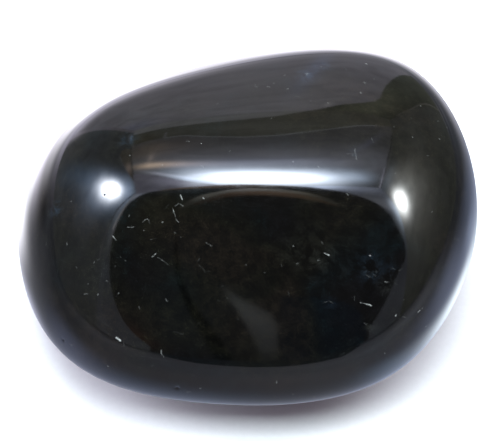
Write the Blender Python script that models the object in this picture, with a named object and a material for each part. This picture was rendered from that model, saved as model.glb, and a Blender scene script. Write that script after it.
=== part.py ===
"""Black onyx: one polished tumbled stone, about 39 x 32 x 25 mm, lying on its flattest side.

A tumbled stone starts as a rough block with a few flat sides, and the drum wears its edges
round. It is modelled the same way. SIDES lists the block's flat sides, each with the way that
it looks and how far it lies from the middle of the stone, and WEAR says how far the edges are
worn down. Every point of the worn surface is found by going straight out from the middle.

Azimuth 0 looks to the front (-Y), 90 to the right (+X) and 180 to the back (+Y). Elevation is
above the horizon. The origin is below the middle of the stone's box, on the resting face.
"""

import math

import bmesh
import bpy
import numpy as np

MM = 0.001

# name: (azimuth in degrees, elevation in degrees, distance from the middle in mm)
SIDES = {
    "front": (2, 33, 11.6),
    "front_left": (304, 30, 18.3),
    "front_right": (57, 25, 20.3),
    "top": (10, 86, 12.6),
    "back": (198, 38, 14.9),
    "upper_left": (253, 30, 20.2),
    "upper_right": (128, 28, 21.6),
    "left": (270, -12, 22.1),
    "right": (96, 2, 21.7),
    "lower_left": (308, -36, 20.9),
    "lower_right": (62, -33, 18.4),
    "front_low": (358, -48, 15.4),
    "back_low": (180, -35, 15.6),
    "base": (0, -90, 12.8),
}
WEAR = 5.0  # 2 would wear the block to an egg, and 20 would leave its edges crisp

RESTING_DEPTH_MM = 0.25  # how much of the rounded underside the flat resting face takes off
ICOSPHERE_LEVEL = 5

ONYX_COLOUR = (0.010, 0.010, 0.012, 1.0)
ONYX_ROUGHNESS = 0.06
ONYX_IOR = 1.54


def clear_scene():
    for obj in list(bpy.data.objects):
        bpy.data.objects.remove(obj, do_unlink=True)


def onyx_material():
    material = bpy.data.materials.new("polished_onyx")
    material.use_nodes = True
    shader = material.node_tree.nodes["Principled BSDF"]
    shader.inputs["Base Color"].default_value = ONYX_COLOUR
    shader.inputs["Roughness"].default_value = ONYX_ROUGHNESS
    shader.inputs["Metallic"].default_value = 0.0
    shader.inputs["IOR"].default_value = ONYX_IOR
    material.diffuse_color = ONYX_COLOUR
    return material


def outward(azimuth, elevation):
    """The direction with this azimuth and elevation, both in degrees."""
    turn = math.radians(azimuth)
    rise = math.radians(elevation)
    return (
        math.sin(turn) * math.cos(rise),
        -math.cos(turn) * math.cos(rise),
        math.sin(rise),
    )


def worn_surface(directions):
    """The surface point in each of these directions from the middle, in mm.

    Along a direction, a flat side at distance d is met after d / cosine, so 1 / that is how
    strongly the side cuts the block there. The power mean of all sides' strengths follows the
    strongest one across a flat, and turns smoothly from one side to the next over an edge.
    """
    looks = np.array([outward(azimuth, elevation) for azimuth, elevation, _ in SIDES.values()])
    distances = np.array([distance for _, _, distance in SIDES.values()])
    strengths = np.maximum(directions @ looks.T / distances, 0.0)
    joint_strength = (strengths**WEAR).sum(axis=1) ** (1.0 / WEAR)
    return directions / joint_strength[:, None]


def worn_block():
    """The whole rounded stone around the origin, in metres."""
    shape = bmesh.new()
    bmesh.ops.create_icosphere(shape, subdivisions=ICOSPHERE_LEVEL, radius=1.0)
    directions = np.array([vertex.co.normalized() for vertex in shape.verts])
    for vertex, point in zip(shape.verts, worn_surface(directions)):
        vertex.co = point * MM
    return shape


def cut_resting_face(shape):
    """Takes the lowest part of the stone off level, and closes the cut with one flat face."""
    height = min(vertex.co.z for vertex in shape.verts) + RESTING_DEPTH_MM * MM
    cut = bmesh.ops.bisect_plane(
        shape,
        geom=shape.verts[:] + shape.edges[:] + shape.faces[:],
        dist=0.02 * MM,
        plane_co=(0.0, 0.0, height),
        plane_no=(0.0, 0.0, -1.0),
        use_snap_center=True,
        clear_outer=True,
    )
    rim = [item for item in cut["geom_cut"] if isinstance(item, bmesh.types.BMEdge)]
    bmesh.ops.contextual_create(shape, geom=rim)
    bmesh.ops.recalc_face_normals(shape, faces=shape.faces)


def stand_on_origin(shape):
    """Moves the stone so that the middle of its box's underside is the origin."""
    points = np.array([vertex.co for vertex in shape.verts])
    lowest = points.min(axis=0)
    highest = points.max(axis=0)
    middle = (lowest + highest) / 2
    bmesh.ops.translate(shape, vec=(-middle[0], -middle[1], -lowest[2]), verts=shape.verts)


def build_stone():
    shape = worn_block()
    cut_resting_face(shape)
    stand_on_origin(shape)
    mesh = bpy.data.meshes.new("onyx_stone")
    shape.to_mesh(mesh)
    shape.free()
    mesh.shade_smooth()
    mesh.set_sharp_from_angle(angle=math.radians(35))
    mesh.materials.append(onyx_material())
    stone = bpy.data.objects.new("onyx_stone", mesh)
    bpy.context.scene.collection.objects.link(stone)
    return stone


clear_scene()
build_stone()
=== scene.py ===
"""Looks of the black onyx: the polished stone modelled finely, in a white light tent.

Lengths are in millimetres until they reach Blender, which MM turns into metres. The stone is
the same worn block as in part.py, with a finer surface. Directions are an azimuth and an
elevation in degrees from the middle of the block: azimuth 0 looks to the front (-Y), 90 to
the right (+X) and 180 to the back (+Y).
"""

import math
import random

import bmesh
import bpy
import numpy as np
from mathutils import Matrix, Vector


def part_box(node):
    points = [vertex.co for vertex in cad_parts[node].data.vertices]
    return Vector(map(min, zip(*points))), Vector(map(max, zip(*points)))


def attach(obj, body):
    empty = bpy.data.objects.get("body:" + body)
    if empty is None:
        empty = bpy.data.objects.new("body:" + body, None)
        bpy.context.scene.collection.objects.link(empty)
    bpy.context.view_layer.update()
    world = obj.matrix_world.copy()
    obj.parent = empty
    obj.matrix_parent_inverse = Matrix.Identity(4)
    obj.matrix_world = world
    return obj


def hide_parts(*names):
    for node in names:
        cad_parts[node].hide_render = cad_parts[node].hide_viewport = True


MM = 0.001
TINY = 1e-12  # keeps a path that stays in one place from being divided by nothing

# ---------------------------------------------------------------- the stone's named values

# The worn block, as in part.py: name: (azimuth, elevation, distance from the middle in mm).
SIDES = {
    "front": (2, 33, 11.6),
    "front_left": (304, 30, 18.3),
    "front_right": (57, 25, 20.3),
    "top": (10, 86, 12.6),
    "back": (198, 38, 14.9),
    "upper_left": (253, 30, 20.2),
    "upper_right": (128, 28, 21.6),
    "left": (270, -12, 22.1),
    "right": (96, 2, 21.7),
    "lower_left": (308, -36, 20.9),
    "lower_right": (62, -33, 18.4),
    "front_low": (358, -48, 15.4),
    "back_low": (180, -35, 15.6),
    "base": (0, -90, 12.8),
}
WEAR = 5.0
RESTING_DEPTH = 0.25

# The skin's mesh is an icosphere of this level.
SPHERE_LEVEL = 7
# Its edges are halved near flecks and pits, once for each reach in mm.
FINER_WITHIN = (0.42, 0.26, 0.15)
# Its normals come from steps this long over the unit ball.
NORMAL_STEP = 2e-4

# Everything drawn at random comes from one series, in the order of build_stone.
SEED = 7

# What the photo shows of the stone ends a little beyond the edge that the camera sees, at this
# cosine of the angle to the camera. Pits and clouds drawn at random stay off it, and flecks
# drawn at random are faint there.
SHOWN_LIMIT = -0.35

# The tumbler leaves the skin very slightly wavy.
WAVES = 14
WAVE_LENGTHS = (5.0, 10.0)
WAVE_HEIGHT = 0.0012

# Pits that the polish has not reached: (azimuth, elevation, radius, depth).
PITS = [
    (305.0, -9.0, 0.16, 0.07),
    (338.0, -16.5, 0.18, 0.08),
    (296.5, 33.0, 0.05, 0.02),
    (46.0, 21.0, 0.10, 0.04),
]
PITS_ELSEWHERE = 9
PIT_RADII = (0.1, 0.2)
PIT_DEPTHS = (0.03, 0.08)

# Pale flecks just under the skin: (brightness, width, the places that the fleck runs through).
FLECKS = [
    # a loose group at the upper left of the front
    (0.75, 0.10, [(321.0, 46.5), (322.5, 45.5)]),
    (0.45, 0.08, [(321.5, 42.0), (322.0, 43.5), (324.0, 43.5)]),
    (0.18, 0.08, [(317.5, 39.5), (318.5, 42.0)]),
    (0.45, 0.08, [(321.0, 41.0), (322.5, 39.5), (324.0, 38.0), (325.5, 37.5)]),
    (0.50, 0.12, [(332.0, 49.0), (332.5, 49.0)]),
    (0.60, 0.09, [(313.5, 32.5), (314.0, 34.0)]),
    (0.25, 0.08, [(314.5, 34.0), (316.0, 33.0)]),
    (0.45, 0.08, [(310.0, 29.0), (312.0, 30.5)]),
    (0.40, 0.11, [(308.0, 32.0), (308.0, 32.5)]),
    (0.65, 0.09, [(307.5, 24.5), (309.0, 24.0)]),
    (0.32, 0.08, [(312.5, 20.0), (314.5, 19.5)]),
    (0.60, 0.11, [(321.5, 23.5), (322.5, 24.5)]),
    (0.30, 0.09, [(323.5, 23.5), (326.0, 23.0), (328.0, 22.0)]),
    (0.18, 0.08, [(318.5, 28.5), (320.0, 29.5)]),
    (0.28, 0.10, [(325.5, 33.5), (326.0, 33.5)]),
    (0.30, 0.08, [(339.5, 33.0), (342.5, 32.0)]),
    # down the left of the front
    (0.35, 0.08, [(316.5, 9.0), (317.0, 10.0)]),
    (0.45, 0.10, [(324.0, 7.0), (323.5, 7.5)]),
    (0.25, 0.11, [(331.0, 10.5), (330.5, 11.0)]),
    (0.22, 0.10, [(348.5, 12.0), (349.0, 12.0)]),
    (0.16, 0.10, [(355.5, 6.0), (356.0, 6.0)]),
    (0.14, 0.10, [(335.5, 1.5), (338.0, 1.0)]),
    (0.30, 0.11, [(312.5, 12.0), (313.0, 12.0)]),
    (0.85, 0.16, [(320.5, -2.0), (321.5, -2.5)]),
    (0.55, 0.10, [(333.0, -4.0), (333.5, -5.5)]),
    (0.40, 0.08, [(334.0, -6.0), (334.0, -5.0)]),
    (0.25, 0.08, [(331.0, -9.0), (331.5, -8.5)]),
    (0.30, 0.12, [(340.5, -18.5), (341.5, -18.0)]),
    (0.50, 0.10, [(8.5, -13.5), (8.5, -14.5)]),
    (0.07, 0.10, [(308.0, 5.0), (314.5, 2.0), (320.0, -0.5)]),
    (0.06, 0.10, [(310.0, 2.0), (319.0, -1.5)]),
    # the right of the front
    (0.55, 0.11, [(50.5, 42.0), (50.5, 41.5)]),
    (0.90, 0.11, [(32.0, 26.0), (33.5, 25.0)]),
    (0.35, 0.12, [(28.5, 24.5), (29.0, 24.5)]),
    (0.30, 0.12, [(20.5, 24.5), (21.0, 24.5)]),
    (0.32, 0.08, [(15.0, 14.5), (15.0, 13.5)]),
    (0.42, 0.08, [(37.0, 10.5), (36.0, 9.0)]),
    (0.95, 0.11, [(37.5, 8.0), (38.5, 7.5), (40.0, 6.5)]),
    (0.20, 0.09, [(26.5, 9.5), (28.5, 10.0), (29.5, 9.0)]),
    (0.20, 0.12, [(31.5, 7.0), (32.0, 7.0)]),
    (0.80, 0.12, [(46.5, 3.0), (45.5, 2.0)]),
    (0.60, 0.10, [(49.0, 5.5), (49.0, 5.0)]),
    (0.60, 0.10, [(51.5, 0.5), (52.5, 1.0), (53.0, 0.5)]),
    (0.22, 0.10, [(42.0, 16.0), (43.0, 14.5)]),
    # the top, which also has wider smudges
    (0.75, 0.12, [(127.0, 43.5), (127.5, 43.5)]),
    (0.40, 0.11, [(100.5, 62.0), (101.0, 62.0)]),
    (0.18, 0.09, [(78.0, 48.0), (76.5, 47.0)]),
    (0.15, 0.10, [(65.0, 51.5), (67.5, 50.0)]),
    (0.35, 0.09, [(80.5, 33.5), (81.0, 33.0)]),
    (0.30, 0.10, [(321.5, 60.0), (323.5, 60.0)]),
    (0.45, 0.11, [(49.0, 55.5), (49.0, 55.0)]),
    (0.15, 0.09, [(297.5, 64.0), (299.0, 64.0)]),
    (0.40, 0.10, [(149.5, 65.0), (150.0, 65.5)]),
    (0.24, 0.30, [(138.0, 60.5), (136.5, 61.0)]),
    (0.40, 0.12, [(137.0, 54.5), (137.5, 54.5)]),
    (0.26, 0.18, [(171.0, 75.0), (169.0, 75.0)]),
    (0.24, 0.18, [(153.0, 74.0), (155.0, 74.0)]),
    (0.28, 0.12, [(133.0, 71.0), (134.0, 71.5)]),
    (0.22, 0.22, [(114.0, 49.5), (115.0, 49.5)]),
    (0.34, 0.16, [(107.0, 52.0), (108.0, 52.0)]),
    (0.60, 0.09, [(308.0, 67.0), (308.5, 67.0)]),
    (0.26, 0.14, [(299.0, 63.5), (300.0, 64.0)]),
    (0.65, 0.09, [(289.5, 46.0), (290.0, 46.0)]),
    (0.60, 0.08, [(309.0, 55.0), (309.5, 55.0)]),
    (0.30, 0.09, [(69.5, 50.5), (65.0, 48.5)]),
    (0.22, 0.16, [(66.5, 50.5), (66.0, 50.0)]),
    (0.24, 0.08, [(66.0, 81.0), (72.0, 81.0)]),
    (0.18, 0.16, [(245.0, 77.0), (247.0, 77.0)]),
    # the left side, near the left end
    (0.40, 0.08, [(289.0, 11.5), (289.8, 10.5)]),
    (0.22, 0.08, [(292.5, 12.5), (293.0, 11.5)]),
    (0.35, 0.08, [(296.0, 16.5), (297.0, 15.0)]),
    (0.45, 0.08, [(302.5, 12.0), (303.0, 12.0)]),
    (0.75, 0.09, [(306.5, 16.0), (306.5, 15.5)]),
    (0.50, 0.08, [(308.0, 13.0), (308.0, 12.5)]),
    (0.65, 0.08, [(286.5, 20.0), (287.0, 20.0)]),
    (0.42, 0.08, [(312.0, 8.0), (312.0, 7.5)]),
    (0.32, 0.08, [(308.5, 6.5), (309.5, 7.0)]),
    (0.15, 0.08, [(307.0, 16.5), (308.5, 18.5)]),
    # more on the right of the front
    (0.30, 0.10, [(38.0, 1.5), (39.0, 0.5)]),
    (0.26, 0.11, [(36.5, 2.0), (37.0, 1.5)]),
    (0.34, 0.12, [(46.5, 12.0), (48.0, 11.0)]),
    (0.30, 0.12, [(48.5, 10.5), (49.0, 10.0)]),
    (0.34, 0.08, [(43.5, 18.5), (44.0, 18.0)]),
    (0.26, 0.08, [(44.0, 15.0), (44.5, 14.5)]),
    (0.16, 0.08, [(47.5, 17.0), (50.5, 14.5)]),
    (0.25, 0.08, [(47.0, 1.5), (48.5, 0.0)]),
    (0.38, 0.08, [(49.0, -5.0), (49.0, -5.5)]),
    (0.36, 0.09, [(37.0, -4.5), (37.5, -5.0)]),
    (0.35, 0.09, [(53.5, -5.0), (54.0, -5.0)]),
]
# A fleck is full in its middle and fades outwards over this share of its width. The fade ends
# this many of its own lengths from the middle line.
FLECK_FADE = 0.40
FLECK_FADE_END = 1.5
# A fleck's brightness is raised to this power.
FLECK_CONTRAST = 1.6
# How crooked flecks are: swings of these lengths, as wide to the side as this share of them.
WOBBLES = (1.1, 0.6, 0.33)
WOBBLE_SHARE = 0.05

# Flecks drawn at random: how many, and between which limits.
FLECKS_ELSEWHERE = 70
FLECK_STRENGTHS = (0.25, 0.9)
FAINT_STRENGTH = 0.15  # where the photo shows the stone
FLECK_WIDTHS = (0.07, 0.12)
FLECK_STEP_COUNTS = (1, 1, 1, 2, 3)
FLECK_STEPS = (0.5, 2.0)  # degrees
FLECK_TURN = 0.7  # spread of the turn between two steps, in radians
LEAST_COSINE = 0.2  # keeps a step near a pole from running round it

# Cloudy places inside the stone: (azimuth, elevation, radius, how strong it is).
BLUE_CLOUDS = [
    (137, 61, 0.9, 1.0),
    (137, 54, 0.7, 0.7),
    (281, 48, 0.6, 0.9),
    (286, 20, 0.7, 1.0),
    (68, 50, 0.4, 0.6),
    (44, 17, 1.0, 0.6),
    (48, 15, 0.6, 0.5),
    (29, 9, 0.5, 0.3),
]
PALE_CLOUDS = [
    (46, 11, 0.5, 0.8),
    (22, 29, 1.5, 0.25),
    (30, 24, 1.4, 0.35),
    (309, 14, 0.9, 0.2),
    (47, 12, 0.5, 0.6),
    (44, 17, 0.5, 0.5),
    (38, 1, 0.5, 0.5),
]
CLOUDS_ELSEWHERE = 7
CLOUD_RADII = (0.4, 1.3)
CLOUD_STRENGTHS = (0.3, 0.9)

# ---------------------------------------------------------------- the studio's named values

# The camera looks down at the stone's front. AIM is just above the middle of the block.
AIM = (0.3, -0.8, 12.8)
CAMERA_DISTANCE = 300.0
CAMERA_ELEVATION = 40.0
SENSOR = 36.0
LENS = 258.7  # 12 pixels to a millimetre at AIM
CLIP_START = 10.0
CLIP_END = 10000.0

# The light tent: a box of white cloth with a large opening in its front, and a white sheet
# that hangs at its back. It is seen only in the polish.
HALF_WIDTH = 198.0
FRONT = -200.0
BACK = 280.0
HEIGHT = 400.0

# The floor that the eye sees lies just under the stone. The ground that the polish mirrors
# instead of it lies just above it.
FLOOR_HEIGHT = -0.02
FLOOR_REACH = 1500.0
GROUND_HEIGHT = 0.05

# Each side of the tent: (a point on it, the way across, the way up, the way inwards).
TENT_SIDES = {
    "front": ((0, FRONT, 0), (1, 0, 0), (0, 0, 1), (0, 1, 0)),
    "back": ((0, BACK, 0), (1, 0, 0), (0, 0, 1), (0, -1, 0)),
    "left": ((-HALF_WIDTH, 0, 0), (0, 1, 0), (0, 0, 1), (1, 0, 0)),
    "right": ((HALF_WIDTH, 0, 0), (0, 1, 0), (0, 0, 1), (-1, 0, 0)),
    "roof": ((0, 0, HEIGHT), (1, 0, 0), (0, 1, 0), (0, 0, -1)),
    "ground": ((0, 0, GROUND_HEIGHT), (1, 0, 0), (0, 1, 0), (0, 0, 1)),
}

# Folds in all of the cloth: their size, and how far they dim and brighten it.
FOLD_SIZE = 45.0
FOLD_LIGHT = (0.86, 1.14)

# Lamps light what is not polished: (name, place, size, power in W, colour).
LAMPS = [
    ("overhead_lamp", (-15, -175, 420), 300, 4.1, (0.88, 1.0, 0.96)),
    ("left_lamp", (-430, -20, 200), 320, 2.75, (0.90, 0.92, 1.0)),
    ("right_lamp", (400, 190, 280), 320, 2.35, (0.94, 0.98, 1.0)),
]
ROOM_COLOUR = (1.0, 0.74, 0.84, 1.0)
ROOM_STRENGTH = 0.29


def outward(azimuth, elevation):
    turn = math.radians(azimuth)
    rise = math.radians(elevation)
    return (
        math.sin(turn) * math.cos(rise),
        -math.cos(turn) * math.cos(rise),
        math.sin(rise),
    )


# ---------------------------------------------------------------- the stone's shape


def worn_surface(directions):
    """The worn block's surface point in each direction from its middle, in mm, as in part.py."""
    looks = np.array([outward(azimuth, elevation) for azimuth, elevation, _ in SIDES.values()])
    distances = np.array([distance for _, _, distance in SIDES.values()])
    strengths = np.maximum(directions @ looks.T / distances, 0.0)
    joint_strength = (strengths**WEAR).sum(axis=1) ** (1.0 / WEAR)
    return directions / joint_strength[:, None]


def lengths(vectors):
    return np.sqrt((vectors**2).sum(axis=-1))


def bell(away, radius):
    """One in the middle, about a third at the radius, and fading to nothing beyond it."""
    return np.exp(-((away / radius) ** 2))


def draw_waves(chance):
    """Slow waves over the skin: each is a (wave vector, phase), for points in mm."""
    waves = []
    for _ in range(WAVES):
        way = Vector([chance.gauss(0, 1) for _ in range(3)]).normalized()
        wave = way * math.tau / chance.uniform(*WAVE_LENGTHS)
        waves.append((wave, chance.uniform(0, math.tau)))
    return waves


def anywhere(chance):
    """A direction drawn evenly over the whole stone, as (azimuth, elevation)."""
    return chance.uniform(0, 360), math.degrees(math.asin(chance.uniform(-1, 1)))


def draw_pits(chance):
    pits = list(PITS)
    for _ in range(PITS_ELSEWHERE):
        azimuth, elevation = anywhere(chance)
        if not seen_from_front(azimuth, elevation):
            radius = chance.uniform(*PIT_RADII)
            pits.append((azimuth, elevation, radius, chance.uniform(*PIT_DEPTHS)))
    return pits


def draw_flecks(chance):
    """The named flecks, and fine ones all over the stone."""
    flecks = list(FLECKS)
    for _ in range(FLECKS_ELSEWHERE):
        azimuth, elevation = anywhere(chance)
        shown = seen_from_front(azimuth, elevation)
        strength = FAINT_STRENGTH if shown else chance.uniform(*FLECK_STRENGTHS)
        places = [(azimuth, elevation)]
        heading = chance.uniform(0, math.tau)
        for _ in range(chance.choice(FLECK_STEP_COUNTS)):
            step = chance.uniform(*FLECK_STEPS)
            heading += chance.gauss(0, FLECK_TURN)
            cosine = max(math.cos(math.radians(elevation)), LEAST_COSINE)
            azimuth += step * math.cos(heading) / cosine
            elevation += step * math.sin(heading)
            places.append((azimuth, elevation))
        flecks.append((strength, chance.uniform(*FLECK_WIDTHS), places))
    return flecks


def draw_clouds(chance, named):
    clouds = list(named)
    for _ in range(CLOUDS_ELSEWHERE):
        azimuth, elevation = anywhere(chance)
        if not seen_from_front(azimuth, elevation):
            radius = chance.uniform(*CLOUD_RADII)
            clouds.append((azimuth, elevation, radius, chance.uniform(*CLOUD_STRENGTHS)))
    return clouds


def seen_from_front(azimuth, elevation):
    """Whether the photo shows this side of the stone, or nearly."""
    to_camera = Vector(outward(0, CAMERA_ELEVATION))
    return Vector(outward(azimuth, elevation)).dot(to_camera) > SHOWN_LIMIT


def stone_skin(directions, waves, pits):
    """The finished skin in each direction from the middle of the block, in mm."""
    points = worn_surface(directions)
    swell = np.zeros(len(points))
    for wave, phase in waves:
        swell += WAVE_HEIGHT * np.sin(points @ np.array(wave) + phase)
    for azimuth, elevation, radius, depth in pits:
        middle = np.array([outward(azimuth, elevation)])
        away = lengths(directions - middle) * lengths(worn_surface(middle))[0]
        swell -= depth * bell(away, radius)
    return points + directions * swell[:, None]


def lay_on_resting_face(points, height):
    """Pulls what lies under the resting face up to it, towards the middle of the block."""
    reach = np.where(points[:, 2] < height, height / points[:, 2], 1.0)
    return points * reach[:, None]


def skin_normals(directions, skin):
    """Which way the skin faces, from two short steps along it."""
    # the helper is never parallel to the direction
    upright = np.abs(directions[:, 2:]) >= 0.9
    helper = np.where(upright, [[1.0, 0.0, 0.0]], [[0.0, 0.0, 1.0]])
    first = np.cross(helper, directions)
    first /= lengths(first)[:, None]
    second = np.cross(directions, first)
    here = skin(directions)
    ends = []
    for way in (first, second):
        there = directions + way * NORMAL_STEP
        ends.append(skin(there / lengths(there)[:, None]) - here)
    normals = np.cross(ends[0], ends[1])
    return normals / lengths(normals)[:, None]


def onto_cad_box(points):
    """Moves the points so that their box stands in the middle of the CAD stone's box."""
    lowest, highest = (np.array(corner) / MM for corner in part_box("onyx_stone"))
    middle = (lowest + highest) / 2
    own_middle = (points.min(axis=0) + points.max(axis=0)) / 2
    shift = middle - own_middle
    shift[2] = lowest[2] - points[:, 2].min()
    return points + shift


def distance_to_path(directions, places):
    """How far each direction's skin is from a path over the skin, in mm."""
    corners = np.array([outward(*place) for place in places])
    radius = lengths(worn_surface(corners[:1]))[0]
    nearest = lengths(directions - corners[0])
    for start, end in zip(corners, corners[1:]):
        along = end - start
        share = np.clip((directions - start) @ along / max(along @ along, TINY), 0.0, 1.0)
        away = lengths(directions - start - share[:, None] * along)
        nearest = np.minimum(nearest, away)
    return nearest * radius


def wobbled(directions, chance):
    """Moves directions a little to and fro, which makes straight paths over the skin crooked."""
    radius = lengths(worn_surface(directions[:1]))[0]
    moved = directions.copy()
    for length in WOBBLES:
        way, sideways = (np.array(outward(*anywhere(chance))) for _ in range(2))
        phase = chance.uniform(0.0, math.tau)
        swing = np.sin(math.tau * radius / length * (directions @ way) + phase)
        moved += swing[:, None] * sideways * (WOBBLE_SHARE * length / radius)
    return moved


def split_near(shape, paths, reach):
    """Halves each edge of the unit ball that is this near to a path."""
    shape.edges.ensure_lookup_table()
    middles = np.array([(edge.verts[0].co + edge.verts[1].co) / 2 for edge in shape.edges])
    near = np.zeros(len(middles), bool)
    for places in paths:
        near |= distance_to_path(middles, places) < reach
    chosen = [shape.edges[index] for index in np.nonzero(near)[0]]
    bmesh.ops.subdivide_edges(shape, edges=chosen, cuts=1, use_grid_fill=True)
    bmesh.ops.triangulate(shape, faces=[face for face in shape.faces if len(face.verts) > 3])
    for vertex in shape.verts:
        vertex.co.normalize()


def add_layer(mesh, name, amounts):
    """Keeps a number for each point of the mesh, for the material."""
    layer = mesh.attributes.new(name, "FLOAT", "POINT")
    layer.data.foreach_set("value", np.clip(amounts, 0.0, 1.0).astype(np.float32))


def cloud_layer(directions, clouds):
    amounts = np.zeros(len(directions))
    for azimuth, elevation, radius, strength in clouds:
        away = distance_to_path(directions, [(azimuth, elevation)])
        amounts = np.maximum(amounts, strength * bell(away, radius))
    return amounts


def build_stone():
    chance = random.Random(SEED)
    waves = draw_waves(chance)
    pits = draw_pits(chance)
    flecks = draw_flecks(chance)
    paths = [places for _, _, places in flecks] + [[(pit[0], pit[1])] for pit in pits]
    # a unit ball, finer where the flecks and pits are
    shape = bmesh.new()
    bmesh.ops.create_icosphere(shape, subdivisions=SPHERE_LEVEL, radius=1.0)
    for reach in FINER_WITHIN:
        split_near(shape, paths, reach)
    directions = np.array([vertex.co.normalized() for vertex in shape.verts])
    # its skin
    lowest = stone_skin(directions, waves, pits)[:, 2].min()

    def skin(ways):
        return lay_on_resting_face(stone_skin(ways, waves, pits), lowest + RESTING_DEPTH)

    points = onto_cad_box(skin(directions))
    for vertex, point in zip(shape.verts, points):
        vertex.co = point * MM
    mesh = bpy.data.meshes.new("polished_stone")
    shape.to_mesh(mesh)
    shape.free()
    mesh.shade_smooth()
    mesh.normals_split_custom_set_from_vertices(skin_normals(directions, skin).tolist())
    # what the material reads from the mesh
    marks = np.zeros(len(directions))
    crooked = wobbled(directions, chance)
    for strength, width, places in flecks:
        away = distance_to_path(crooked, places) / (FLECK_FADE * width)
        fullness = np.clip(FLECK_FADE_END - away, 0.0, 1.0)
        marks = np.maximum(marks, strength**FLECK_CONTRAST * fullness)
    hollows = np.zeros(len(directions))
    for azimuth, elevation, radius, _ in pits:
        away = distance_to_path(directions, [(azimuth, elevation)])
        hollows = np.maximum(hollows, bell(away, radius))
    add_layer(mesh, "fleck", marks)
    add_layer(mesh, "pit", hollows)
    add_layer(mesh, "blue_cloud", cloud_layer(directions, draw_clouds(chance, BLUE_CLOUDS)))
    add_layer(mesh, "pale_cloud", cloud_layer(directions, draw_clouds(chance, PALE_CLOUDS)))
    stone = bpy.data.objects.new("polished_stone", mesh)
    bpy.context.scene.collection.objects.link(stone)
    return stone


# ---------------------------------------------------------------- materials


class Nodes:
    """A short way to write a material's or a world's nodes."""

    def __init__(self, owner):
        owner.use_nodes = True
        self.tree = owner.node_tree
        self.tree.nodes.clear()

    def add(self, kind, inputs=None, **settings):
        node = self.tree.nodes.new(kind)
        for name, value in settings.items():
            setattr(node, name, value)
        for name, value in (inputs or {}).items():
            self.feed(node.inputs[name], value)
        return node

    def feed(self, socket, value):
        if isinstance(value, bpy.types.NodeSocket):
            self.tree.links.new(value, socket)
        else:
            socket.default_value = value

    def math(self, operation, *values):
        node = self.add("ShaderNodeMath", operation=operation)
        for socket, value in zip(node.inputs, values):
            self.feed(socket, value)
        return node.outputs[0]

    def vector(self, operation, *values):
        node = self.add("ShaderNodeVectorMath", operation=operation)
        for socket, value in zip(node.inputs, values):
            self.feed(socket, value)
        return node.outputs["Value" if operation == "DOT_PRODUCT" else "Vector"]

    def scaled(self, vector, factor):
        node = self.add("ShaderNodeVectorMath", operation="SCALE")
        self.feed(node.inputs[0], vector)
        self.feed(node.inputs["Scale"], factor)
        return node.outputs["Vector"]

    def place(self):
        return self.add("ShaderNodeTexCoord").outputs["Object"]

    def noise(self, place, size, detail, roughness, distortion=0.0, shift=None):
        """Noise whose features are about this size in mm, perhaps from another place in it."""
        if shift:
            place = self.vector("ADD", place, shift)
        node = self.add(
            "ShaderNodeTexNoise",
            {
                "Vector": place,
                "Scale": 1.0 / (size * MM),
                "Detail": detail,
                "Roughness": roughness,
                "Distortion": distortion,
            },
        )
        return node.outputs["Fac"]

    def layer(self, name):
        """A number that add_layer keeps in the mesh."""
        return self.add("ShaderNodeAttribute", attribute_name=name).outputs["Fac"]

    def ramp(self, amount, low, high, to_low=0.0, to_high=1.0):
        """Turns low to high into to_low to to_high, smoothly and without going beyond them."""
        node = self.add(
            "ShaderNodeMapRange",
            {1: low, 2: high, 3: to_low, 4: to_high},
            interpolation_type="SMOOTHSTEP",
        )
        self.feed(node.inputs[0], amount)
        return node.outputs[0]

    def blend(self, amount, first, second):
        """Mixes two colours. A Mix node's colour sockets are inputs 6 and 7 and output 2."""
        node = self.add("ShaderNodeMix", data_type="RGBA", clamp_factor=True)
        self.feed(node.inputs[0], amount)
        self.feed(node.inputs[6], first)
        self.feed(node.inputs[7], second)
        return node.outputs[2]


# The colours of the stone and of the paper under it.
BLUE_BLACK = (0.0004, 0.0011, 0.0014, 1.0)
SOOT_BLACK = (0.0004, 0.0004, 0.0005, 1.0)
OLIVE_BLACK = (0.0012, 0.0012, 0.0007, 1.0)
BROWN_BLACK = (0.0020, 0.0015, 0.0010, 1.0)
MILKY_BLUE = (0.006, 0.012, 0.020, 1.0)
MILKY_GREY = (0.013, 0.014, 0.013, 1.0)
FLECK_WHITE = (0.36, 0.38, 0.38, 1.0)
PIT_BLACK = (0.0010, 0.0010, 0.0010, 1.0)
PAPER_DARK = (0.80, 0.80, 0.87, 1.0)
PAPER_LIGHT = (0.82, 0.82, 0.89, 1.0)

ONYX_IOR = 1.54
PIT_HAZE = 0.35
SPECK_CELL = 0.75


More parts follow.
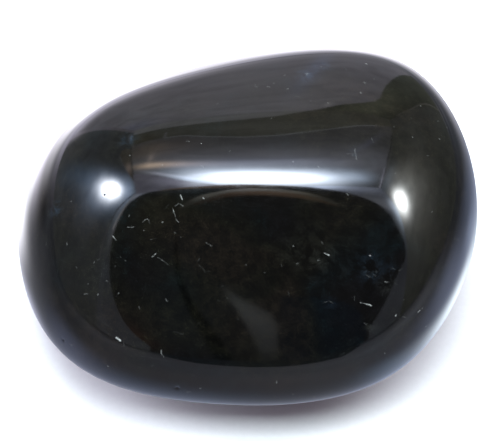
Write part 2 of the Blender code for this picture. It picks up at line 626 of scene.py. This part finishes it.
def onyx_material():
    material = bpy.data.materials.new("polished_onyx")
    nodes = Nodes(material)
    place = nodes.place()
    # slow drifts between blue-black, olive and brown under the polish
    warmth = nodes.noise(place, size=9.0, detail=2.0, roughness=0.5, distortion=0.4)
    shift = (0.031, 0.017, 0.052)
    depth = nodes.noise(place, size=5.0, detail=3.0, roughness=0.55, distortion=0.3, shift=shift)
    warm = nodes.blend(nodes.ramp(warmth, 0.52, 0.68), OLIVE_BLACK, BROWN_BLACK)
    cold = nodes.blend(nodes.ramp(depth, 0.40, 0.60), SOOT_BLACK, BLUE_BLACK)
    body = nodes.blend(nodes.ramp(warmth, 0.40, 0.56), cold, warm)
    # fine cloudy grain, a little lighter and darker
    grain = nodes.noise(place, size=0.9, detail=5.0, roughness=0.66, distortion=0.15)
    dusting = nodes.noise(place, size=0.16, detail=2.0, roughness=0.6, shift=(0.07, 0.02, 0.09))
    grainy = nodes.ramp(grain, 0.35, 0.72, to_low=0.45, to_high=1.9)
    dusty = nodes.ramp(dusting, 0.3, 0.8, to_low=0.6, to_high=1.9)
    body = nodes.scaled(body, nodes.math("MULTIPLY", grainy, dusty))
    # milky clouds, broken up by the grain
    broken = nodes.ramp(grain, 0.42, 0.66)
    for name, colour in (("blue_cloud", MILKY_BLUE), ("pale_cloud", MILKY_GREY)):
        cloud = nodes.math("MULTIPLY", nodes.layer(name), broken)
        body = nodes.blend(cloud, body, colour)
    # specks too fine to be told apart, in one cell out of a few
    scale = 1.0 / (SPECK_CELL * MM)
    cells = nodes.add("ShaderNodeTexVoronoi", {"Vector": place, "Scale": scale})
    speck = nodes.ramp(cells.outputs["Distance"], 0.05, 0.13, to_low=1.0, to_high=0.0)
    pick = nodes.add("ShaderNodeSeparateColor")
    nodes.feed(pick.inputs[0], cells.outputs["Color"])
    chosen = nodes.ramp(pick.outputs[0], 0.86, 1.0, to_low=0.0, to_high=0.16)
    body = nodes.blend(nodes.math("MULTIPLY", speck, chosen), body, FLECK_WHITE)
    # flecks, which are crumbly, and pits
    crumbs = nodes.noise(place, size=0.30, detail=3.0, roughness=0.7, shift=(0.02, 0.05, 0.01))
    crumbly = nodes.ramp(crumbs, 0.42, 0.60, to_low=0.26, to_high=1.0)
    flecks = nodes.math("MULTIPLY", nodes.layer("fleck"), crumbly)
    body = nodes.blend(flecks, body, FLECK_WHITE)
    body = nodes.blend(nodes.layer("pit"), body, PIT_BLACK)
    # the polish is a little hazier over the cloudy grain, and much hazier inside the pits
    haze = nodes.ramp(grain, 0.4, 0.75, to_low=0.055, to_high=0.085)
    haze = nodes.math("ADD", haze, nodes.math("MULTIPLY", nodes.layer("pit"), PIT_HAZE))
    shader = nodes.add(
        "ShaderNodeBsdfPrincipled", {"Base Color": body, "Roughness": haze, "IOR": ONYX_IOR}
    )
    nodes.add("ShaderNodeOutputMaterial", {"Surface": shader.outputs[0]})
    return material


def floor_material():
    material = bpy.data.materials.new("white_paper")
    nodes = Nodes(material)
    fibres = nodes.noise(nodes.place(), size=0.6, detail=3.0, roughness=0.6)
    paper = nodes.blend(nodes.ramp(fibres, 0.3, 0.7), PAPER_DARK, PAPER_LIGHT)
    shader = nodes.add("ShaderNodeBsdfDiffuse", {"Color": paper})
    nodes.add("ShaderNodeOutputMaterial", {"Surface": shader.outputs[0]})
    return material


def cloth_material(name, side, light, glows):
    """Lit cloth on one side of the tent.

    light is its even brightness. Each glow is a soft oval (middle across, middle up, long
    reach, short reach, tilt in degrees, brightness) in mm on that side. One with a negative
    brightness dims the cloth.
    """
    material = bpy.data.materials.new(name)
    nodes = Nodes(material)
    place = nodes.place()
    _, across, up, _ = (Vector(part) for part in TENT_SIDES[side])
    total = light
    for middle_across, middle_up, long_reach, short_reach, tilt, peak in glows:
        turn = math.radians(tilt)
        middle = across * middle_across + up * middle_up
        squares = []
        for way, reach in (
            (across * math.cos(turn) + up * math.sin(turn), long_reach),
            (up * math.cos(turn) - across * math.sin(turn), short_reach),
        ):
            along = nodes.vector("DOT_PRODUCT", place, way / (reach * MM))
            along = nodes.math("SUBTRACT", along, way.dot(middle) / reach)
            squares.append(nodes.math("MULTIPLY", along, along))
        fading = nodes.math("MULTIPLY", nodes.math("ADD", *squares), -1.0)
        total = nodes.vector("ADD", nodes.scaled(peak, nodes.math("EXPONENT", fading)), total)
    folds = nodes.noise(place, size=FOLD_SIZE, detail=3.0, roughness=0.5, distortion=0.6)
    total = nodes.scaled(total, nodes.ramp(folds, 0.25, 0.75, *FOLD_LIGHT))
    shader = nodes.add("ShaderNodeEmission", {"Strength": 1.0})
    nodes.feed(shader.inputs["Color"], total)
    nodes.add("ShaderNodeOutputMaterial", {"Surface": shader.outputs[0]})
    return material


# ---------------------------------------------------------------- the studio


def flat_piece(name, outline, material):
    """A flat piece of the studio with these corners, in mm in the tent's frame."""
    shape = bmesh.new()
    shape.faces.new([shape.verts.new(Vector(corner) * MM) for corner in outline])
    mesh = bpy.data.meshes.new(name)
    shape.to_mesh(mesh)
    shape.free()
    mesh.materials.append(material)
    piece = bpy.data.objects.new(name, mesh)
    bpy.context.scene.collection.objects.link(piece)
    return piece


def rounded(corners, steps=6):
    """A smooth closed line through these corners, as a Catmull-Rom spline."""
    smooth = []
    count = len(corners)
    for index in range(count):
        before, start, end, after = (Vector(corners[(index + k - 1) % count]) for k in range(4))
        for step in range(steps):
            t = step / steps
            smooth.append(
                0.5
                * (
                    2 * start
                    + (end - before) * t
                    + (2 * before - 5 * start + 4 * end - after) * t**2
                    + (3 * start - before - 3 * end + after) * t**3
                )
            )
    return smooth


def band(middle_line, width):
    """The outline of a strip along a line, as wide as width, or as each point's own width."""
    line = [Vector(point) for point in middle_line]
    widths = width if isinstance(width, (list, tuple)) else [width] * len(line)
    left = []
    right = []
    for index, point in enumerate(line):
        way = line[min(index + 1, len(line) - 1)] - line[max(index - 1, 0)]
        across = Vector((-way.y, way.x)).normalized() * widths[index] / 2
        left.append(point + across)
        right.append(point - across)
    return left + right[::-1]


def hang(side, name, outline, light, glows=(), layer=0):
    """Hangs a piece of lit cloth on one side of the tent, this many mm in front of it."""
    origin, across, up, inwards = (Vector(part) for part in TENT_SIDES[side])
    corners = [origin + across * a + up * b + inwards * layer for a, b in outline]
    piece = flat_piece(name, corners, cloth_material(name, side, light, glows))
    for rays in ("camera", "diffuse", "transmission", "volume_scatter", "shadow"):
        setattr(piece, f"visible_{rays}", False)


def oblong(left, right, bottom, top):
    return [(left, bottom), (right, bottom), (right, top), (left, top)]


def hang_roof():
    # long folds in the cloth at the front left
    streaks = [
        (-100, -104, 48, 8, -32, (2.6, 2.6, 3.1)),
        (-50, -142, 30, 9, -36, (4.0, 5.0, 7.0)),
    ]
    hang(
        "roof",
        "roof_cloth",
        oblong(-HALF_WIDTH, HALF_WIDTH, FRONT, BACK),
        (0.46, 0.46, 0.48),
        [
            (20, -60, 220, 90, 0, (1.15, 1.2, 1.45)),
            (0, -48, 80, 20, 0, (0.5, 0.6, 0.9)),
            (-130, 60, 75, 60, 0, (0.36, 0.22, 0.10)),
            (-118, -42, 60, 17, -9, (4.8, 3.4, 2.1)),
            (-60, -52, 60, 16, -14, (1.0, 0.9, 1.1)),
            (-132, -4, 36, 8, 80, (1.2, 0.95, 0.8)),
            (18, -150, 58, 37, -20, (42, 46, 52)),
            (15, -135, 92, 50, -20, (5.4, 7.0, 9.4)),
            (108, -142, 48, 38, 0, (3.0, 3.8, 5.0)),
            (22, -62, 60, 18, 0, (1.0, 1.1, 1.4)),
            (130, 78, 60, 11, 68, (0.14, 0.16, 0.3)),
            *streaks,
        ],
    )
    # the front left corner, behind a fold in the cloth
    corner_fold = [(-196, -74), (-141, -92), (-104, -114), (-72, -142), (-46, -162), (-10, -188)]
    hang(
        "roof",
        "roof_front_left",
        [*corner_fold, (-10, FRONT), (-HALF_WIDTH, FRONT)],
        (1.05, 1.04, 1.32),
        [
            *streaks,
            (-80, -150, 48, 26, -25, (1.5, 1.5, 2.0)),
            (-36, -166, 26, 30, 0, (6.0, 6.6, 7.6)),
        ],
        layer=1,
    )
    # what is behind the roof's cross seam, which shows as a thin bright line
    cross_seam = [
        (-97, 137), (-60, 135), (-30, 116), (0, 104), (20, 107), (50, 140), (100, 180), (150, 203),
    ]
    hang(
        "roof",
        "roof_rear",
        [
            (-HALF_WIDTH, 137),
            *cross_seam,
            (HALF_WIDTH, 225),
            (HALF_WIDTH, BACK),
            (-HALF_WIDTH, BACK),
        ],
        (0.40, 0.40, 0.34),
        [(20, 170, 90, 60, 0, (0.14, 0.14, 0.14)), (-150, 165, 40, 40, 0, (0.0, -0.03, -0.05))],
        layer=1,
    )
    hang("roof", "roof_seam", band(cross_seam, 4), (1.1, 1.15, 1.2), layer=2)
    seam_end = [(-98, 135), (-96, 182)]
    hang("roof", "roof_seam_end", band(seam_end, 4), (0.8, 0.8, 0.85), layer=2)
    sheet_edge = [(-HALF_WIDTH, 238), (-172, 226), (-60, 222), (-8, 228), (14, 240), (40, BACK)]
    hang(
        "roof",
        "sheet_over_roof",
        [*sheet_edge, (-HALF_WIDTH, BACK)],
        (0.98, 0.98, 1.0),
        layer=3,
    )
    # the seams where the roof meets the side walls, and the bulging top of the right wall
    left_edge = [(-195, 120), (-192, -80)]
    hang("roof", "left_corner_seam", band(left_edge, 3), (0.2, 0.2, 0.2), layer=3)
    right_edge = [
        (191, 159), (187, 99), (184, 29), (183, -25), (185, -70), (190, -148), (194, FRONT),
    ]
    hang(
        "roof",
        "right_wall_top",
        [*right_edge, (HALF_WIDTH, FRONT), (HALF_WIDTH, 159)],
        (0.38, 0.38, 0.38),
        [(185, -150, 30, 60, 0, (1.5, 1.6, 1.8)), (185, -60, 30, 80, 0, (0.4, 0.4, 0.4))],
        layer=2,
    )
    right_gap = [(across + 4, along) for across, along in right_edge]
    hang("roof", "right_corner_gap", band(right_gap, 3), (0.10, 0.10, 0.11), layer=3)
    hang(
        "roof",
        "right_corner_seam",
        band(right_edge[1:], 4),
        (0.6, 0.6, 0.65),
        [(188, -150, 30, 90, 0, (3.2, 3.3, 4.1))],
        layer=3.5,
    )
    # the top of the opening curves over onto the roof
    hang(
        "roof",
        "opening_top",
        [(-125, FRONT), (-95, -193), (-50, -187), (0, -184), (25, -190), (55, FRONT)],
        (1.15, 0.85, 0.66),
        layer=3,
    )


def hang_front():
    hang(
        "front",
        "front_cloth",
        oblong(-HALF_WIDTH, HALF_WIDTH, 0, HEIGHT),
        (0.34, 0.36, 0.42),
        [
            (62, 402, 42, 36, 0, (11.0, 13.0, 17.0)),
            (140, 390, 70, 60, 0, (1.5, 1.7, 2.3)),
            (200, 235, 18, 55, 0, (9.0, 10.8, 13.0)),
            (152, 265, 60, 45, 0, (0.9, 0.95, 1.1)),
            (-200, 210, 18, 34, 0, (0.6, 0.6, 0.65)),
            (-195, 372, 36, 45, 0, (2.0, 2.2, 2.8)),
        ],
    )
    opening = rounded([
        (-48, -8), (-62, 16), (-91, 43), (-112, 65), (-139, 96), (-161, 123), (-176, 155),
        (-185, 190), (-189, 236), (-192, 285), (-188, 332), (-168, 370), (-140, 388), (-60, 400),
        (40, 397), (75, 360), (105, 316), (138, 264), (159, 211), (170, 168), (186, 128),
        (187, 98), (165, 86), (138, 64), (109, 32), (100, -8),
    ])
    around = [*opening, opening[0]]
    hang("front", "piping_shade", band(around, 7), (0.26, 0.27, 0.31), layer=0.6)
    hang(
        "front",
        "piping",
        band(around, 3.2),
        (0.48, 0.50, 0.56),
        [
            (62, 400, 42, 36, 0, (11.0, 12.5, 15.0)),
            (135, 310, 60, 80, 0, (1.6, 1.7, 2.0)),
            (-192, 290, 40, 110, 0, (2.4, 2.2, 2.2)),
            (184, 200, 24, 50, 0, (2.6, 2.8, 3.0)),
        ],
        layer=1,
    )
    hang(
        "front",
        "opening",
        opening,
        (0.10, 0.10, 0.105),
        [
            (-110, 270, 120, 90, 0, (0.07, 0.07, 0.035)),
            (-28, 85, 30, 60, 0, (0.01, 0.03, 0.04)),
            (-60, 380, 60, 22, 0, (0.14, 0.17, 0.2)),
            (20, 394, 36, 16, 0, (0.85, 0.72, 0.55)),
            (-75, 32, 30, 16, -40, (0.11, 0.03, 0.01)),
        ],
        layer=2,
    )
    # what shows through the opening: a dim arch, and folds of dark cloth
    arch_outside = [
        (-54, 246), (-44, 290), (-28, 333), (-6, 363), (15, 371), (34, 361), (54, 326),
        (68, 284), (76, 244),
    ]
    arch_inside = [
        (66, 258), (56, 290), (44, 320), (30, 338), (14, 344), (-2, 338), (-18, 314),
        (-32, 280), (-46, 251),
    ]
    shade_inside = [
        (72, 240), (60, 262), (44, 288), (26, 306), (10, 310), (-8, 300), (-22, 275), (-34, 262),
    ]
    hang(
        "front",
        "arch_shade",
        [*arch_outside[1:-1], *shade_inside],
        (0.24, 0.17, 0.13),
        [(16, 345, 60, 26, 0, (1.0, 0.70, 0.48)), (48, 300, 34, 14, -60, (0.5, 0.36, 0.24))],
        layer=3,
    )
    hang(
        "front",
        "arch",
        [*arch_outside, *arch_inside],
        (0.35, 0.34, 0.30),
        [
            (12, 368, 34, 28, 0, (2.1, 2.05, 2.0)),
            (-26, 325, 30, 16, 62, (0.85, 0.82, 0.72)),
            (46, 328, 30, 18, -60, (0.85, 0.78, 0.64)),
        ],
        layer=4,
    )
    low_fold = [(22, 96), (38, 94), (54, 88), (73, 77), (88, 60), (103, 25), (103, -8), (22, -8)]
    hang("front", "low_fold", low_fold, (0.075, 0.092, 0.12), layer=3)
    dark_line = [
        (-42, 165), (-37, 141), (-31, 118), (-24, 101), (-19, 89), (-13, 70), (-8, 44), (-4, -8),
    ]
    dark_fold = band(dark_line, [2, 4, 5, 6, 7, 8, 9, 10])
    hang("front", "dark_fold", dark_fold, (0.045, 0.05, 0.055), layer=3)
    fin = [
        (-3, 108), (5, 97.5), (12, 90), (18, 82), (20.5, 70), (20.5, -8),
        (12.5, -8), (12.5, 20), (11.4, 49), (8, 73), (5, 87.5), (1, 97),
    ]
    hang(
        "front",
        "fin",
        fin,
        (0.16, 0.17, 0.175),
        [(16, 55, 32, 14, 90, (0.19, 0.20, 0.22)), (6, 88, 26, 7, -62, (0.32, 0.35, 0.36))],
        layer=4,
    )


def hang_sides():
    hang(
        "left",
        "left_cloth",
        oblong(FRONT, BACK, 0, HEIGHT),
        (0.30, 0.32, 0.34),
        [
            (-78, 246, 56, 27, -50, (60, 62, 66)),
            (-80, 252, 108, 50, -54, (4.4, 5.9, 8.6)),
            (45, 122, 105, 30, -52, (0.20, 0.36, 0.62)),
            (-145, 350, 62, 48, 0, (1.6, 2.1, 3.0)),
            (-196, 270, 34, 80, 0, (0.8, 0.9, 1.1)),
            (40, 0, 170, 50, 0, (-0.07, -0.08, -0.09)),
            (205, 385, 34, 20, 0, (0.55, 0.7, 0.95)),
            (275, 10, 36, 45, 0, (1.0, 0.95, 1.15)),
        ],
    )
    hang(
        "left",
        "sheet_on_left",
        oblong(254, BACK, 0, HEIGHT),
        (0.68, 0.64, 0.74),
        [(275, 10, 36, 40, 0, (0.8, 0.75, 0.95))],
        layer=1,
    )
    roof_edge = [
        (112, 352), (98, 328), (63, 313), (10, 332), (-25, 351), (-62, 368), (-110, 392),
        (-122, HEIGHT),
    ]
    hang(
        "left",
        "roof_on_left",
        [*roof_edge, (112, HEIGHT)],
        (0.42, 0.38, 0.34),
        [(-28, 376, 34, 26, -12, (1.2, 0.95, 0.85))],
        layer=1,
    )
    hang("left", "roof_seam_on_left", band(roof_edge[2:], 2.5), (1.1, 1.15, 1.35), layer=2)
    piping = [(-195, 205), (-195, 385)]
    hang("left", "piping_on_left", band(piping, 8), (1.9, 1.9, 2.0), layer=2)
    left_seam = [(-186, 380), (-166, 250), (-172, 130)]
    hang("left", "left_seam", band(left_seam, 6), (0.5, 0.5, 0.55), layer=1)
    hang(
        "right",
        "right_cloth",
        oblong(FRONT, BACK, 0, HEIGHT),
        (0.20, 0.21, 0.20),
        [
            (-161, 240, 44, 28, 90, (60, 62, 62)),
            (-155, 250, 66, 54, 90, (3.2, 3.6, 3.7)),
            (-110, 250, 120, 80, 90, (1.9, 1.9, 1.8)),
            (-60, 230, 170, 150, 0, (0.42, 0.42, 0.38)),
            (-140, 372, 84, 40, 0, (0.6, 0.8, 1.1)),
            (200, 300, 160, 160, 0, (0.12, 0.12, 0.11)),
        ],
    )


def hang_back():
    hang(
        "back",
        "back_cloth",
        oblong(-HALF_WIDTH, HALF_WIDTH, 0, HEIGHT),
        (0.19, 0.20, 0.17),
        [(115, 330, 60, 150, 0, (0.27, 0.29, 0.20))],
    )
    hang(
        "back",
        "sheet",
        [
            (-HALF_WIDTH, 0), (108, 0), (105, 60), (105, 110), (105, 160), (109, 207), (115, 245),
            (112, 275), (96, 303), (62, 345), (40, HEIGHT), (-HALF_WIDTH, HEIGHT),
        ],
        (0.54, 0.52, 0.60),
        [
            (-60, 300, 220, 190, 0, (0.42, 0.42, 0.42)),
            (5, 375, 90, 80, 0, (0.26, 0.26, 0.28)),
            (-175, 0, 50, 32, 0, (1.35, 1.3, 1.6)),
            (-95, 0, 45, 32, 0, (1.2, 1.15, 1.35)),
            (-45, 0, 28, 26, 0, (0.4, 0.38, 0.44)),
            (-190, 330, 70, 60, 0, (0.0, 0.04, 0.22)),
            (15, 150, 120, 6, 90, (0.08, 0.14, 0.3)),
            (50, 345, 20, 4, 90, (0.6, 0.6, 0.6)),
        ],
        layer=1,
    )
    corner = [(190, 0), (188, 88), (190, 134), (194, 200), (192, 262), (193, 328)]
    hang("back", "back_corner_seam", band(corner, 4), (0.44, 0.43, 0.40), layer=2)


def lay_ground():
    """The floor as the polish mirrors it, dimmer than the floor that the eye sees."""
    hang(
        "ground",
        "ground_cloth",
        oblong(-HALF_WIDTH, HALF_WIDTH, FRONT, BACK),
        (0.15, 0.16, 0.19),
        [
            # in front
            (-60, -80, 100, 60, 0, (0.28, 0.28, 0.32)),
            (85, -80, 105, 60, 0, (0.28, 0.28, 0.33)),
            (0, -28, 30, 10, 0, (0.14, 0.11, 0.11)),
            # close to the stone's lower left and lower right
            (-26, -13, 12, 8, 0, (0.28, 0.34, 0.58)),
            (-8, -16, 10, 5, 0, (0.14, 0.20, 0.34)),
            (17, -15, 4.5, 6, 0, (0.30, 0.44, 0.64)),
            # to the right
            (22, 0, 4.5, 10, 0, (1.75, 1.95, 2.0)),
            (38, -6, 24, 13, 0, (0.60, 0.72, 1.10)),
            (62, -42, 50, 30, 0, (0.30, 0.34, 0.40)),
            (40, 18, 30, 13, 0, (0.12, 0.16, 0.28)),
            (31, 11, 8, 5, 0, (0.25, 0.30, 0.40)),
            (28, 46, 12, 12, 0, (0.16, 0.16, 0.20)),
            # to the left, with a dim place further out
            (-25, 17, 6, 7, 0, (2.2, 2.2, 2.4)),
            (-20, 3, 4, 5, 0, (0.45, 0.46, 0.60)),
            (-29, 33, 12, 10, 0, (2.3, 2.2, 2.6)),
            (-31.5, 25.5, 5, 2.8, 100, (0.75, 0.8, 0.75)),
            (-58, 32, 28, 14, -28, (-0.47, -0.47, -0.53)),
            # behind, where the sheet's foot lights it
            (-38, 76, 30, 38, 0, (3.2, 3.1, 3.4)),
            (-45, 92, 48, 20, 118, (1.1, 1.1, 1.2)),
            (-17, 44, 16, 8, 100, (0.4, 0.4, 0.4)),
            (-95, 120, 30, 35, 0, (0.7, 0.67, 0.8)),
            (-64, 165, 70, 58, 0, (1.6, 1.55, 1.8)),
            (-62, 225, 32, 45, 0, (0.5, 0.48, 0.55)),
            (-160, 235, 110, 100, 0, (1.6, 1.5, 1.9)),
            (0, 110, 30, 50, 0, (0.33, 0.31, 0.36)),
            (14, 90, 12, 30, 0, (1.4, 1.35, 1.5)),
            (12, 58, 17, 22, 0, (1.4, 1.35, 1.5)),
            (34, 98, 14, 40, 0, (0.5, 0.5, 0.55)),
            (26, 215, 20, 50, 0, (0.35, 0.33, 0.36)),
            (62, 225, 28, 50, 0, (0.42, 0.40, 0.43)),
            (80, 105, 16, 16, 0, (0.12, 0.12, 0.14)),
            (150, 205, 35, 35, 0, (0.25, 0.24, 0.24)),
        ],
    )
    # what the floor mirrors of the dark opening
    dark_patch = [
        (2, -74), (30, -74), (62, -122), (98, FRONT), (-46, FRONT), (-30, -122), (-10, -84),
    ]
    hang("ground", "dark_patch", dark_patch, (0.10, 0.115, 0.135), layer=0.1)


def lay_floor():
    square = oblong(-FLOOR_REACH, FLOOR_REACH, -FLOOR_REACH, FLOOR_REACH)
    corners = [(across, along, FLOOR_HEIGHT) for across, along in square]
    flat_piece("floor", corners, floor_material())


def softbox(name, place, size, power, colour):
    """A square lamp aimed at the stone. The polish mirrors the tent instead of it."""
    lamp = bpy.data.lights.new(name, "AREA")
    lamp.shape = "SQUARE"
    lamp.size = size * MM
    lamp.energy = power
    lamp.color = colour
    box = bpy.data.objects.new(name, lamp)
    box.location = Vector(place) * MM
    box.rotation_euler = Vector(place).to_track_quat("Z", "Y").to_euler()
    box.visible_glossy = False
    bpy.context.scene.collection.objects.link(box)


def studio():
    lay_floor()
    hang_roof()
    hang_front()
    hang_sides()
    hang_back()
    lay_ground()
    for lamp in LAMPS:
        softbox(*lamp)
    world = bpy.data.worlds.new("white_room")
    nodes = Nodes(world)
    sky = nodes.add("ShaderNodeBackground", {"Color": ROOM_COLOUR, "Strength": ROOM_STRENGTH})
    nodes.add("ShaderNodeOutputWorld", {"Surface": sky.outputs[0]})
    bpy.context.scene.world = world
    bpy.context.scene.view_settings.view_transform = "Standard"


def place_camera():
    to_camera = Vector(outward(0, CAMERA_ELEVATION))
    lens = bpy.data.cameras.new("camera")
    lens.lens = LENS
    lens.sensor_width = SENSOR
    lens.clip_start = CLIP_START * MM
    lens.clip_end = CLIP_END * MM
    camera = bpy.data.objects.new("camera", lens)
    camera.location = (Vector(AIM) + to_camera * CAMERA_DISTANCE) * MM
    camera.rotation_euler = to_camera.to_track_quat("Z", "Y").to_euler()
    bpy.context.scene.collection.objects.link(camera)
    bpy.context.scene.camera = camera


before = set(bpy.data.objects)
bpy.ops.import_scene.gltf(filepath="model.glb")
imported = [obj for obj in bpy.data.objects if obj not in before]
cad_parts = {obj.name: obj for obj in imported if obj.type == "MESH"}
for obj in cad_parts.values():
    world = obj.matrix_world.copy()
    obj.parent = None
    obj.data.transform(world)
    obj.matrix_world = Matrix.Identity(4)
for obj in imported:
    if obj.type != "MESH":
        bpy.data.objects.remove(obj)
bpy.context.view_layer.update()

stone = build_stone()
stone.data.materials.append(onyx_material())
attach(stone, "root")
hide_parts("onyx_stone")

studio()
place_camera()
